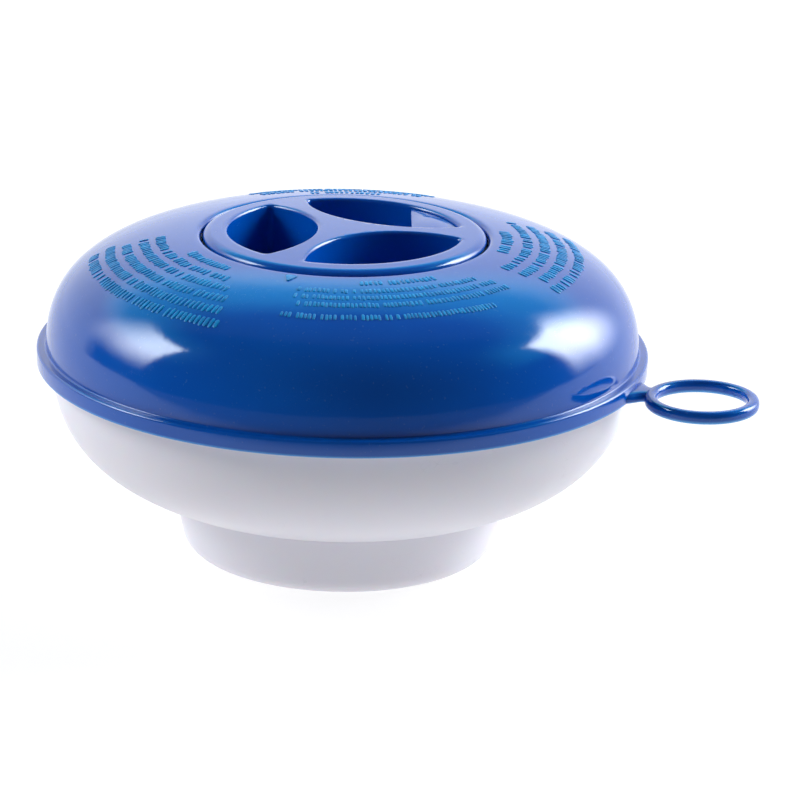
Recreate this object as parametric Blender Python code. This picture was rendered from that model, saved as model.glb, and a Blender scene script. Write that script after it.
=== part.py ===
"""Floating chlorine dispenser: a sealed, saucer-shaped float with a tablet well through its middle.

The blue upper shell and the white lower shell close an air chamber round the well. A screw-in cap
with three finger pockets shuts the well's mouth, and a dosing base turns under the well's floor to
cover or uncover its windows. A tether loop stands out from the upper shell's flange.

Metres, +Z up. The origin is the centre of the base's underside, on the axis everything is turned
about, and the tether loop points along +X.
"""

from math import atan2, cos, pi, radians, sin, sqrt

import bmesh
import bpy
from mathutils import Matrix

MM = 0.001
GAP = 0.3 * MM  # between two pieces that touch

# Driving sizes
FLANGE_RADIUS = 101.5 * MM  # an 8 inch float
FLANGE_BOTTOM = 65.0 * MM
FLANGE_TOP = 70.5 * MM
DOME_TOP = 109.8 * MM
FOOT_RADIUS = 56.0 * MM
FOOT_TOP = 21.3 * MM
WELL_RADIUS = 41.5 * MM  # takes 3 inch tablets, 76 mm across
WALL = 2.4 * MM
ROUND_STEPS = 52  # facets of a full turn
SEAL_STEPS = 40
CROWN_STEPS = 5

# The dome and the bowl are superellipses: half width, height, and the two exponents
DOME_RADIUS = 98.7 * MM
DOME_START = 61.1 * MM
DOME_POWERS = (3.19, 3.35)
BOWL_RADIUS = 96.15 * MM
BOWL_START = 64.55 * MM
BOWL_BOTTOM = 16.74 * MM
BOWL_POWERS = (2.94, 2.31)

# Seam between the shells
SKIRT_INNER = 99.4 * MM
SEAM_RIM_RADIUS = SKIRT_INNER - GAP
SEAM_RIM_TOP = 66.6 * MM
FLANGE_PLATE_UNDER = 68.0 * MM

# Mouth and neck of the upper shell
RECESS_RADIUS = 47.5 * MM
RECESS_EDGE = 1.8 * MM
SEAT_TOP = 103.5 * MM
SEAT_UNDER = 101.2 * MM
NECK_BORE = 44.0 * MM
NECK_RADIUS = 46.2 * MM
NECK_BOTTOM = 82.0 * MM

# Tablet well
WELL_OUTER = WELL_RADIUS + WALL
WELL_BOTTOM = 3.6 * MM
WELL_FLOOR = 5.8 * MM
WELL_SHOULDER = 80.0 * MM
COLLAR_BORE = 46.6 * MM
COLLAR_RADIUS = 48.8 * MM
COLLAR_TOP = 92.0 * MM
FLARE_BOTTOM = 75.0 * MM
SEAL_GROOVE_Z = 10.0 * MM
SEAL_GROOVE_HALF = 1.2 * MM
SEAL_GROOVE_DEPTH = 1.1 * MM

# Neck of the lower shell, round the well's foot
SOCKET_BORE = 45.0 * MM
SOCKET_RADIUS = 47.2 * MM
SOCKET_BOTTOM = 6.0 * MM
SOCKET_TOP = 30.0 * MM
BOWL_FLOOR = 23.5 * MM

# Dosing base
BASE_TOP = FOOT_TOP - 0.4 * MM
BASE_LOW_RADIUS = 51.3 * MM
BASE_ROUND = 7.4 * MM
BASE_WALL = 2.2 * MM
BASE_FLOOR = 3.0 * MM
BASE_UNDER = 0.8 * MM
FOOT_RING_INNER = 40.0 * MM
BOSS_RADIUS = 12.0 * MM
SPIGOT_RADIUS = 6.0 * MM
SPIGOT_TOP = 6.9 * MM
SCREW_HOLE_RADIUS = 2.3 * MM
SCREW_HOLE_BOTTOM = 1.3 * MM
BASE_TURN = radians(45)  # from open to shut

# Windows through both floors
WINDOWS = 4
WINDOW_INNER = 15.0 * MM
WINDOW_OUTER = 37.0 * MM
WINDOW_HALF_ANGLE = radians(16)
WINDOW_STEPS = 6

# Stops that end the base's turn
STOP_HALF_ANGLE = radians(2.5)
STOP_BOTTOM = 7.5 * MM
STOP_TOP = 11.0 * MM
RIB_INNER = 47.7 * MM
RIB_OUTER = 50.8 * MM
LUG_OUTER = 48.4 * MM
RIB_ANGLE = radians(200)
STOP_SLACK = radians(0.7)

# Cap
CAP_TOP = 110.8 * MM  # at the axis
CAP_CROWN = 1.5 * MM  # how far the domed top falls to the chamfer
CAP_UNDER = 106.5 * MM
CAP_RADIUS = 46.8 * MM
CAP_CHAMFER = 2.2 * MM
PLUG_RADIUS = 42.4 * MM
PLUG_WALL = 2.2 * MM
PLUG_BOTTOM = 88.0 * MM
CAP_PLATE = 3.6 * MM
POCKETS = 3
POCKET_FLOOR = 90.8 * MM
POCKET_ARC = 38.7 * MM  # outer side, about the cap's axis
POCKET_BACK = 34.6 * MM  # inner side, about POCKET_CENTRE
POCKET_CENTRE = 43.8 * MM
POCKET_TIP = 2.0 * MM
FIRST_ARM = radians(20)  # the web's first arm, from the tether loop

# Quick thread: three lugs on the plug under three ledges in the neck
THREAD_LEAD = 36.0 * MM  # rise in a full turn
STARTS = 3
LUG_RADIUS = 43.6 * MM
LUG_BOTTOM = 90.0 * MM
LUG_HEIGHT = 2.4 * MM
LUG_SPAN = radians(24)
LEDGE_RADIUS = 42.75 * MM
LEDGE_HEIGHT = 2.3 * MM
LEDGE_SPAN = radians(60)
THREAD_ANGLE = radians(40)
BITE = 0.9 * MM  # how far a joined shape reaches into its wall

# Child-lock tab, in the pocket on the loop's side of the back
TAB_EDGE = 22.0 * MM
TAB_TOP = 108.6 * MM
TAB_THICKNESS = 2.0 * MM
TAB_CLEARANCE = 0.5 * MM
TAB_LEG = (2.0 * MM, 6.0 * MM, 10.0 * MM)
TAB_LEG_OUTER = 29.8 * MM
CATCH_REACH = 35.0 * MM
CATCH_HEIGHT = 2.5 * MM
CATCH_WINDOW = (6.5 * MM, 7.5 * MM)
SPRING_PLACE = (28.5 * MM, 16.0 * MM)
SPRING_RADIUS = 2.6 * MM
SPRING_WIRE = 0.45 * MM
SPRING_TURNS = 5

# Tether loop
LOOP_CENTRE = 124.0 * MM
LOOP_RADIUS = 18.6 * MM
LOOP_HOLE = 14.6 * MM
LOOP_BOTTOM = 64.4 * MM
LOOP_TOP = 68.6 * MM
LOOP_ROUND = 1.2 * MM
LOOP_NECK_STEP = 0.3 * MM
LOOP_NECK_HALF = (7.0 * MM, 4.2 * MM)  # at the flange, at the ring

BLUE = (0.004, 0.085, 0.40)
WHITE = (0.78, 0.78, 0.80)
SEAL_BLACK = (0.02, 0.02, 0.022)
STEEL = (0.55, 0.56, 0.58)


# ---------------------------------------------------------------- tools

def material(name, colour, roughness, metallic=0.0):
    """A plain moulded finish."""
    found = bpy.data.materials.get(name) or bpy.data.materials.new(name)
    found.use_nodes = True
    shader = found.node_tree.nodes["Principled BSDF"]
    shader.inputs["Base Color"].default_value = (*colour, 1.0)
    shader.inputs["Roughness"].default_value = roughness
    shader.inputs["Metallic"].default_value = metallic
    return found


def finish(name, bm, parent=None, look=None):
    """Turns a bmesh into a smooth-shaded object with its faces pointing out."""
    bmesh.ops.remove_doubles(bm, verts=bm.verts, dist=1e-6)
    bmesh.ops.recalc_face_normals(bm, faces=bm.faces)
    mesh = bpy.data.meshes.new(name)
    bm.to_mesh(mesh)
    bm.free()
    mesh.shade_smooth()
    mesh.set_sharp_from_angle(angle=radians(35))
    obj = bpy.data.objects.new(name, mesh)
    bpy.context.scene.collection.objects.link(obj)
    obj.parent = parent
    if look:
        mesh.materials.append(look)
    return obj


def hide(obj):
    """Marks a cutter or a helper, which is no part of the object."""
    obj.hide_render = True
    obj.display_type = "WIRE"
    return obj


def boolean(obj, other, operation):
    """Cuts, joins or keeps the common part, with the other shape left as a helper."""
    step = obj.modifiers.new(f"{operation.lower()} {other.name}", "BOOLEAN")
    step.operation = operation
    step.object = hide(other)
    step.solver = "EXACT"


def turned(name, outline, steps=ROUND_STEPS, parent=None, look=None):
    """A closed outline of (radius, height) points, spun about Z."""
    bm = bmesh.new()
    points = [bm.verts.new((r, 0, z)) for r, z in outline]
    edges = [bm.edges.new((a, b)) for a, b in zip(points, points[1:] + points[:1]) if not (
        a.co.x < 1e-7 and b.co.x < 1e-7)]
    bmesh.ops.spin(bm, geom=points + edges, cent=(0, 0, 0), axis=(0, 0, 1), angle=2 * pi,
                   steps=steps, use_merge=True)
    return finish(name, bm, parent, look)


def prism(name, outline, bottom, top, parent=None, look=None):
    """A flat outline of (x, y) points, extruded upwards."""
    bm = bmesh.new()
    face = bm.faces.new([bm.verts.new((x, y, bottom)) for x, y in outline])
    side = bmesh.ops.extrude_face_region(bm, geom=[face])["geom"]
    bmesh.ops.translate(bm, vec=(0, 0, top - bottom), verts=[v for v in side if isinstance(
        v, bmesh.types.BMVert)])
    return finish(name, bm, parent, look)


def arc(centre, radius, start, end, steps):
    """Points on a circle arc from one angle to another, both ends included."""
    cx, cy = centre
    angles = [start + (end - start) * i / steps for i in range(steps + 1)]
    return [(cx + radius * cos(a), cy + radius * sin(a)) for a in angles]


def superellipse(radius, start, height, powers, steps, begin=0.0, end=pi / 2):
    """Points (r, z) on a quarter superellipse; height may be negative, for a bowl."""
    wide, tall = powers
    angles = [begin + (end - begin) * i / steps for i in range(steps + 1)]
    return [(radius * cos(t) ** (2 / wide), start + height * sin(t) ** (2 / tall)) for t in angles]


def angle_at_radius(radius, full, power):
    """Where on its superellipse a profile reaches this radius."""
    wanted = (radius / full) ** (power / 2)
    return atan2(sqrt(1 - wanted * wanted), wanted)


def angle_at_rise(share, power):
    """Where on its superellipse a profile has risen by this share of its height."""
    wanted = share ** (power / 2)
    return atan2(wanted, sqrt(1 - wanted * wanted))


def sector(inner, outer, middle, half_angle, steps):
    """The outline of a piece of a ring."""
    return (arc((0, 0), outer, middle - half_angle, middle + half_angle, steps)
            + arc((0, 0), inner, middle + half_angle, middle - half_angle, steps))


def helical_bar(name, inner, outer, bottom, height, start, span, steps=10):
    """A bar of square section that climbs round Z at the thread's lead."""
    bm = bmesh.new()
    rings = []
    for i in range(steps + 1):
        turn = span * i / steps
        rise = THREAD_LEAD * turn / (2 * pi)
        corners = ((inner, 0), (outer, 0), (outer, height), (inner, height))
        rings.append([bm.verts.new((r * cos(start + turn), r * sin(start + turn),
                                    bottom + rise + z)) for r, z in corners])
    for a, b in zip(rings, rings[1:]):
        for i in range(4):
            j = (i + 1) % 4
            bm.faces.new((a[i], a[j], b[j], b[i]))
    bm.faces.new(rings[0])
    bm.faces.new(rings[-1])
    return finish(name, bm)


def seal_ring(name, radius, thickness, height, parent, look):
    """An O-ring lying flat."""
    outline = arc((radius, height), thickness, 0, 2 * pi * 5 / 6, 5)
    return turned(name, outline, SEAL_STEPS, parent, look)


# ---------------------------------------------------------------- hull

def dome_profile(inset, low, narrow, steps):
    """The dome's outer wall, or its inner one at an inset, from a height up to a radius."""
    radius = DOME_RADIUS - inset
    height = DOME_TOP - inset - DOME_START
    begin = angle_at_rise((low - DOME_START) / height, DOME_POWERS[1])
    end = angle_at_radius(narrow, radius, DOME_POWERS[0])
    return superellipse(radius, DOME_START, height, DOME_POWERS, steps, begin, end)


def upper_shell(parent, look):
    """Dome, flange with its skirt, cap recess and threaded neck."""
    edge_radius = RECESS_RADIUS + RECESS_EDGE
    dome = dome_profile(0, FLANGE_TOP, edge_radius, 15)
    rounded = arc((edge_radius, dome[-1][1] - RECESS_EDGE), RECESS_EDGE, pi / 2, pi, 3)
    lining = dome_profile(WALL, FLANGE_TOP, RECESS_RADIUS + WALL, 8)
    outline = [
        (FLANGE_RADIUS, FLANGE_BOTTOM),
        (FLANGE_RADIUS, FLANGE_TOP - 0.8 * MM),
        (FLANGE_RADIUS - 0.8 * MM, FLANGE_TOP),
        *dome,
        *rounded[1:],
        (RECESS_RADIUS, SEAT_TOP),
        (NECK_BORE, SEAT_TOP),
        (NECK_BORE, NECK_BOTTOM),
        (NECK_RADIUS, NECK_BOTTOM),
        (NECK_RADIUS, SEAT_UNDER),
        (RECESS_RADIUS + WALL, SEAT_UNDER),
        *reversed(lining),
        (lining[0][0], FLANGE_PLATE_UNDER),
        (SKIRT_INNER, FLANGE_PLATE_UNDER),
        (SKIRT_INNER, FLANGE_BOTTOM),
    ]
    shell = turned("upper_shell", outline, parent=parent, look=look)
    for i in range(STARTS):
        start = THREAD_ANGLE + 2 * pi * i / STARTS
        boolean(shell, helical_bar(f"ledge_{i}", LEDGE_RADIUS, NECK_BORE + BITE,
                                   LUG_BOTTOM + LUG_HEIGHT + GAP, LEDGE_HEIGHT, start,
                                   LEDGE_SPAN, 12), "UNION")
    return shell


def tether_loop(parent, look):
    """A flat eye with rounded edges and its hole along Z, on a short tapered neck at the flange."""
    bevel = LOOP_ROUND
    outline = [
        (LOOP_RADIUS, LOOP_BOTTOM + bevel), (LOOP_RADIUS, LOOP_TOP - bevel),
        (LOOP_RADIUS - bevel, LOOP_TOP), (LOOP_HOLE + bevel, LOOP_TOP),
        (LOOP_HOLE, LOOP_TOP - bevel), (LOOP_HOLE, LOOP_BOTTOM + bevel),
        (LOOP_HOLE + bevel, LOOP_BOTTOM), (LOOP_RADIUS - bevel, LOOP_BOTTOM),
    ]
    loop = turned("tether_loop", outline, 40, parent, look)
    loop.data.transform(Matrix.Translation((LOOP_CENTRE, 0, 0)))
    inner = FLANGE_RADIUS + GAP
    outer = LOOP_CENTRE - LOOP_HOLE - 1.6 * MM
    wide, narrow = LOOP_NECK_HALF
    neck = prism("loop_neck", [(inner, -wide), (outer, -narrow), (outer, narrow), (inner, wide)],
                 LOOP_BOTTOM + LOOP_NECK_STEP, LOOP_TOP - LOOP_NECK_STEP)
    boolean(loop, neck, "UNION")
    return loop


def bowl_profile(inset, low, steps):
    """The bowl's wall from its rim down to a height, at an inset from the outside."""
    radius = BOWL_RADIUS - inset
    drop = BOWL_START - BOWL_BOTTOM - inset
    end = angle_at_rise((BOWL_START - low) / drop, BOWL_POWERS[1])
    return superellipse(radius, BOWL_START, -drop, BOWL_POWERS, steps, 0.0, end)


def lower_shell(parent, look):
    """White bowl with the seam rim, and the socket for the well's foot."""
    inner_radius = BOWL_RADIUS - WALL
    outline = [
        (SEAM_RIM_RADIUS, FLANGE_BOTTOM),
        (SEAM_RIM_RADIUS, SEAM_RIM_TOP),
        (inner_radius, SEAM_RIM_TOP),
        *bowl_profile(WALL, BOWL_FLOOR, 7),
        (SOCKET_RADIUS, BOWL_FLOOR),
        (SOCKET_RADIUS, SOCKET_TOP),
        (SOCKET_BORE, SOCKET_TOP),
        (SOCKET_BORE, SOCKET_BOTTOM),
        (SOCKET_RADIUS, SOCKET_BOTTOM),
        (SOCKET_RADIUS, FOOT_TOP),
        *reversed(bowl_profile(0, FOOT_TOP, 12)),
        (BOWL_RADIUS, FLANGE_BOTTOM),
    ]
    shell = turned("lower_shell", outline, parent=parent, look=look)
    clear = 2 * STOP_HALF_ANGLE + STOP_SLACK
    for i, middle in enumerate((RIB_ANGLE - clear, RIB_ANGLE + BASE_TURN + clear)):
        lug = prism(f"stop_lug_{i}", sector(SOCKET_RADIUS - BITE, LUG_OUTER, middle,
                                            STOP_HALF_ANGLE, 2), STOP_BOTTOM, STOP_TOP)
        boolean(shell, lug, "UNION")
    return shell


def seam_seal(parent, look):
    """Flat gasket between the two shells' rims."""
    low, high = SEAM_RIM_TOP + GAP, FLANGE_PLATE_UNDER - GAP
    inner, outer = BOWL_RADIUS + 0.2 * MM, SEAM_RIM_RADIUS - 0.2 * MM
    return turned("seam_seal", [(inner, low), (outer, low), (outer, high), (inner, high)],
                  parent=parent, look=look)


def window_cutters(prefix, bottom, top):
    """One prism for each window, through a floor."""
    return [prism(f"{prefix}_{i}", sector(WINDOW_INNER, WINDOW_OUTER, 2 * pi * i / WINDOWS,
                                          WINDOW_HALF_ANGLE, WINDOW_STEPS), bottom, top)
            for i in range(WINDOWS)]


def tablet_well(parent, look):
    """Cup that holds the tablets, with a windowed floor and a collar round the neck."""
    groove = WELL_OUTER - SEAL_GROOVE_DEPTH
    outline = [
        (WELL_RADIUS, WELL_FLOOR),
        (WELL_RADIUS, WELL_SHOULDER),
        (COLLAR_BORE, WELL_SHOULDER),
        (COLLAR_BORE, COLLAR_TOP),
        (COLLAR_RADIUS, COLLAR_TOP),
        (COLLAR_RADIUS, WELL_SHOULDER - WALL),
        (WELL_OUTER, FLARE_BOTTOM),
        (WELL_OUTER, SEAL_GROOVE_Z + SEAL_GROOVE_HALF),
        (groove, SEAL_GROOVE_Z + SEAL_GROOVE_HALF),
        (groove, SEAL_GROOVE_Z - SEAL_GROOVE_HALF),
        (WELL_OUTER, SEAL_GROOVE_Z - SEAL_GROOVE_HALF),
        (WELL_OUTER, WELL_BOTTOM),
        (SPIGOT_RADIUS + 0.4 * MM, WELL_BOTTOM),
        (SPIGOT_RADIUS + 0.4 * MM, WELL_FLOOR),
    ]
    well = turned("tablet_well", outline, parent=parent, look=look)
    for cutter in window_cutters("well_window", WELL_BOTTOM - MM, WELL_FLOOR + MM):
        boolean(well, cutter, "DIFFERENCE")
    return well


# ---------------------------------------------------------------- dosing base

def dosing_base(parent, look):
    """Tapered cup that is the float's foot, with windows like the well's floor."""
    low_centre = (BASE_LOW_RADIUS - BASE_ROUND, BASE_ROUND)
    inner_round = BASE_ROUND - BASE_WALL
    inner_centre = (low_centre[0] + 0.1 * MM, BASE_FLOOR + inner_round)
    outline = [
        (0, 0),
        (BOSS_RADIUS, 0),
        (BOSS_RADIUS, BASE_UNDER),
        (FOOT_RING_INNER, BASE_UNDER),
        (FOOT_RING_INNER, 0),
        *arc(low_centre, BASE_ROUND, -pi / 2, 0, 6),
        (FOOT_RADIUS, BASE_TOP),
        (FOOT_RADIUS - BASE_WALL, BASE_TOP),
        *arc(inner_centre, inner_round, 0, -pi / 2, 5),
        (SPIGOT_RADIUS, BASE_FLOOR),
        (SPIGOT_RADIUS, SPIGOT_TOP),
        (SCREW_HOLE_RADIUS, SPIGOT_TOP),
        (SCREW_HOLE_RADIUS, SCREW_HOLE_BOTTOM),
        (0, SCREW_HOLE_BOTTOM),
    ]
    base = turned("dosing_base", outline, parent=parent, look=look)
    rib = prism("stop_rib", sector(RIB_INNER, RIB_OUTER, RIB_ANGLE, STOP_HALF_ANGLE, 2),
                STOP_BOTTOM, STOP_TOP)
    boolean(base, rib, "UNION")
    for cutter in window_cutters("base_window", -MM, BASE_FLOOR + MM):
        boolean(base, cutter, "DIFFERENCE")
    return base


def base_washer(parent, look):
    """Slip washer between the screw's head and the well's floor."""
    low, high = WELL_FLOOR + GAP, SPIGOT_TOP
    inner, outer = SPIGOT_RADIUS + GAP, 11.0 * MM
    return turned("base_washer", [(inner, low), (outer, low), (outer, high), (inner, high)],
                  parent=parent, look=look)


def base_screw(parent, look):
    """Pan-head screw that holds the base up against the well, with a slotted head."""
    head_low, head_high, head_radius = SPIGOT_TOP + GAP, 9.4 * MM, 9.0 * MM
    outline = [
        (0, SCREW_HOLE_BOTTOM + GAP),
        (SCREW_HOLE_RADIUS - GAP, SCREW_HOLE_BOTTOM + GAP),
        (SCREW_HOLE_RADIUS - GAP, head_low),
        (head_radius, head_low),
        (head_radius, head_high - 0.9 * MM),
        (head_radius - 0.9 * MM, head_high),
        (0, head_high),
    ]
    screw = turned("base_screw", outline, steps=32, parent=parent, look=look)
    half_long, half_wide, depth = 10.0 * MM, 0.8 * MM, 1.2 * MM
    slot = prism("screw_slot", [(-half_long, -half_wide), (half_long, -half_wide),
                                (half_long, half_wide), (-half_long, half_wide)],
                 head_high - depth, head_high + MM)
    boolean(screw, slot, "DIFFERENCE")
    return screw


# ---------------------------------------------------------------- cap

def pocket_outline(offset, middle):
    """A finger pocket: an outer arc about the cap's axis, an inner arc that bulges towards it,
    and rounded tips. The offset moves every side outwards."""
    far, near = POCKET_ARC - POCKET_TIP, POCKET_BACK - POCKET_TIP
    tip_x = (far**2 - near**2 + POCKET_CENTRE**2) / (2 * POCKET_CENTRE)
    tip_y = sqrt(far**2 - tip_x**2)
    out_angle = atan2(tip_y, tip_x)
    in_angle = atan2(tip_y, tip_x - POCKET_CENTRE)
    tip = POCKET_TIP + offset
    points = (
        arc((0, 0), POCKET_ARC + offset, -out_angle, out_angle, 12)
        + arc((tip_x, tip_y), tip, out_angle, in_angle, 3)[1:-1]
        + arc((POCKET_CENTRE, 0), POCKET_BACK + offset, in_angle, 2 * pi - in_angle, 14)
        + arc((tip_x, -tip_y), tip, 2 * pi - in_angle, 2 * pi - out_angle, 3)[1:-1]
    )
    return [(x * cos(middle) - y * sin(middle), x * sin(middle) + y * cos(middle))
            for x, y in points]


def pocket_middle(index):
    """The direction of a pocket's middle, half way between two arms of the web."""
    return FIRST_ARM + (2 * index + 1) * pi / POCKETS


def cap_crown():
    """The cap's gently domed top, a parabola from the chamfer in to the axis."""
    edge = CAP_RADIUS - CAP_CHAMFER
    radii = [edge * i / CROWN_STEPS for i in range(CROWN_STEPS, -1, -1)]
    return [(r, CAP_TOP - CAP_CROWN * (r / edge) ** 2) for r in radii]


def cap_body(parent, look):
    """Flanged plug with three finger pockets round a three-armed web, hollow from below."""
    outline = [
        (0, PLUG_BOTTOM), (PLUG_RADIUS, PLUG_BOTTOM), (PLUG_RADIUS, CAP_UNDER),
        (CAP_RADIUS, CAP_UNDER), (CAP_RADIUS, CAP_TOP - CAP_CROWN - CAP_CHAMFER), *cap_crown(),
    ]
    cap = turned("cap_body", outline, parent=parent, look=look)
    hollow = turned("web_hollow", [(0, PLUG_BOTTOM - MM), (PLUG_RADIUS - PLUG_WALL,
                                                           PLUG_BOTTOM - MM),
                                   (PLUG_RADIUS - PLUG_WALL, CAP_TOP - CAP_PLATE),
                                   (0, CAP_TOP - CAP_PLATE)])
    for i in range(POCKETS):
        keep = prism(f"pocket_cup_{i}", pocket_outline(PLUG_WALL, pocket_middle(i)),
                     PLUG_BOTTOM - 2 * MM, CAP_TOP)
        boolean(hollow, keep, "DIFFERENCE")
    boolean(cap, hollow, "DIFFERENCE")
    for i in range(POCKETS):
        pocket = prism(f"pocket_{i}", pocket_outline(0, pocket_middle(i)), POCKET_FLOOR,
                       CAP_TOP + MM)
        boolean(cap, pocket, "DIFFERENCE")
    for i in range(STARTS):
        start = THREAD_ANGLE + 2 * pi * i / STARTS
        boolean(cap, helical_bar(f"lug_{i}", PLUG_RADIUS - BITE, LUG_RADIUS, LUG_BOTTOM,
                                 LUG_HEIGHT, start, LUG_SPAN, 5), "UNION")
    boolean(cap, catch_window(), "DIFFERENCE")
    return cap


def catch_heights():
    """Bottom and top of the tab's catch, at the foot of its leg."""
    bottom = TAB_TOP - TAB_THICKNESS - TAB_LEG[2]
    return bottom, bottom + CATCH_HEIGHT


def catch_window():
    """Opening in the plug's wall that the tab's catch stands in and drops through."""
    wide, tall = CATCH_WINDOW
    top = catch_heights()[1] + GAP
    left = TAB_EDGE - 0.6 * MM
    window = prism("catch_window", [(left, TAB_LEG_OUTER - 2 * MM), (left + wide, TAB_LEG_OUTER
                                    - 2 * MM), (left + wide, PLUG_RADIUS), (left, PLUG_RADIUS)],
                   top - tall, top)
    window.data.transform(Matrix.Rotation(FIRST_ARM, 4, "Z"))
    return window


def tab_outline():
    """The end of the first pocket that lies beyond the tab's free edge, with clearance."""
    outline = pocket_outline(-TAB_CLEARANCE, pocket_middle(0) - FIRST_ARM)
    kept = []
    for (x0, y0), (x1, y1) in zip(outline, outline[1:] + outline[:1]):
        if x0 >= TAB_EDGE:
            kept.append((x0, y0))
        if (x0 >= TAB_EDGE) != (x1 >= TAB_EDGE):
            kept.append((TAB_EDGE, y0 + (y1 - y0) * (TAB_EDGE - x0) / (x1 - x0)))
    return kept


def lock_tab(parent, look):
    """Finger tab across one end of a pocket, with a leg whose catch stands in the plug's wall."""
    plate_low = TAB_TOP - TAB_THICKNESS
    tab = prism("lock_tab", tab_outline(), plate_low, TAB_TOP, parent, look)
    thick, wide, long = TAB_LEG
    bottom, catch_top = catch_heights()
    inner = TAB_LEG_OUTER - wide
    side = [(inner, bottom), (CATCH_REACH, bottom), (CATCH_REACH, catch_top),
            (TAB_LEG_OUTER, catch_top), (TAB_LEG_OUTER, plate_low + BITE),
            (inner, plate_low + BITE)]
    leg = prism("tab_leg", side, TAB_EDGE + GAP, TAB_EDGE + GAP + thick)
    leg.data.transform(Matrix(((0, 0, 1, 0), (1, 0, 0, 0), (0, 1, 0, 0), (0, 0, 0, 1))))
    boolean(tab, leg, "UNION")
    tab.data.transform(Matrix.Rotation(FIRST_ARM, 4, "Z"))
    leg.data.transform(Matrix.Rotation(FIRST_ARM, 4, "Z"))
    return tab


def lock_spring(parent, look):
    """Coil spring between the pocket's floor and the tab."""
    bottom = POCKET_FLOOR + GAP + SPRING_WIRE
    top = TAB_TOP - TAB_THICKNESS - GAP - SPRING_WIRE
    x, y = SPRING_PLACE
    c, s = cos(FIRST_ARM), sin(FIRST_ARM)
    centre_x, centre_y = x * c - y * s, x * s + y * c
    steps, sides = 12 * SPRING_TURNS, 5
    bm = bmesh.new()
    rings = []
    for i in range(steps + 1):
        turn = 2 * pi * SPRING_TURNS * i / steps
        middle = bottom + (top - bottom) * i / steps
        section = [2 * pi * k / sides for k in range(sides)]
        rings.append([bm.verts.new((
            centre_x + (SPRING_RADIUS + SPRING_WIRE * cos(a)) * cos(turn),
            centre_y + (SPRING_RADIUS + SPRING_WIRE * cos(a)) * sin(turn),
            middle + SPRING_WIRE * sin(a))) for a in section])
    for a, b in zip(rings, rings[1:]):
        for i in range(sides):
            j = (i + 1) % sides
            bm.faces.new((a[i], a[j], b[j], b[i]))
    bm.faces.new(rings[0])
    bm.faces.new(rings[-1])
    return finish("lock_spring", bm, parent, look)


# ---------------------------------------------------------------- assembly

def empty(name, location=(0, 0, 0), parent=None):
    """A named pivot or group."""
    made = bpy.data.objects.new(name, None)
    made.location = location
    made.parent = parent
    bpy.context.scene.collection.objects.link(made)
    return made


def main():
    for obj in list(bpy.data.objects):
        bpy.data.objects.remove(obj)
    blue = material("blue_gloss", BLUE, 0.16)
    white = material("white_satin", WHITE, 0.38)
    rubber = material("seal_rubber", SEAL_BLACK, 0.6)
    steel = material("spring_steel", STEEL, 0.25, 1.0)

    hull = empty("hull")
    upper_shell(hull, blue)
    tether_loop(hull, blue)
    lower_shell(hull, white)
    seam_seal(hull, rubber)
    tablet_well(hull, white)
    seal_ring("well_upper_seal", (NECK_BORE + COLLAR_BORE) / 2, 0.7 * MM,
              (WELL_SHOULDER + NECK_BOTTOM) / 2, hull, rubber)
    seal_ring("well_lower_seal", WELL_OUTER, 0.8 * MM, SEAL_GROOVE_Z, hull, rubber)

    base = empty("base_pivot", parent=hull)
    dosing_base(base, white)
    base_washer(base, white)
    base_screw(base, white)

    seal_lift = empty("cap_lift", parent=hull)
    seal_ring("cap_seal", (NECK_BORE + RECESS_RADIUS) / 2, 1.2 * MM, (SEAT_TOP + CAP_UNDER) / 2,
              seal_lift, rubber)
    cap = empty("cap_pivot", parent=seal_lift)
    cap_body(cap, blue)
    lock_spring(cap, steel)
    lock_tab(empty("tab_slide", parent=cap), blue)


main()
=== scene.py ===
"""Finished look of a floating chlorine dispenser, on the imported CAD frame.

Every piece is a surface worked out with numpy in metres, in the row frame: +Z up along the float's
axis, +X towards the tether loop. Lengths in the constants below are millimetres, apart from those
whose comment says metres.
"""

import bmesh
import bpy
import numpy as np
from mathutils import Euler, Matrix, Vector


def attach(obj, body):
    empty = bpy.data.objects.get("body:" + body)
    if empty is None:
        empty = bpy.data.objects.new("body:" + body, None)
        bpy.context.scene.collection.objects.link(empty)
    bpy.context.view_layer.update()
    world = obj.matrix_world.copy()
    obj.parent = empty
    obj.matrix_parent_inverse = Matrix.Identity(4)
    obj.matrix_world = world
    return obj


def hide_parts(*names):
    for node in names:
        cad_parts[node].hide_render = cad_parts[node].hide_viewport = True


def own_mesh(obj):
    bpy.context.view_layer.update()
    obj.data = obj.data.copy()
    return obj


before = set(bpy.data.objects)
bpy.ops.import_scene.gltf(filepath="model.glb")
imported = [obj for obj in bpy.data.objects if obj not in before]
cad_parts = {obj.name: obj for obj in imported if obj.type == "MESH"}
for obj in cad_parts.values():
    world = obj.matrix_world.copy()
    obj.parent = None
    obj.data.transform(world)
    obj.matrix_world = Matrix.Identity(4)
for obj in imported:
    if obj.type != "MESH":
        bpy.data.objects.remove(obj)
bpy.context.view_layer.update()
MM = 0.001
TAU = 2 * np.pi
ROUND = 288  # facets of a full turn on the large mouldings
VIEW_TURN = np.radians(20)  # the camera stands this far round from -Y
CAMERA_BACK, CAMERA_UP, CAMERA_LENS = 1.3207, 0.487, 187.38  # metres, metres, and millimetres
CAMERA_TILT, CAMERA_ROLL, CAMERA_YAW = np.radians((71.730, -1.320, -0.409))
LEFT_POWER, RIGHT_POWER, BACKDROP, SKY, DIM = 14.5, 18.0, 1.3, 1.7, 0.07  # strengths of the studio's lights
FLOOR_GLOW, FLOOR_HALF, FLOOR_DROP = 0.82, 12.0, 0.0001  # strength, then metres
LEAD = 36.0  # climb of the cap's quick thread in one turn


# ------------------------------------------------------------------ meshes

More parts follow.
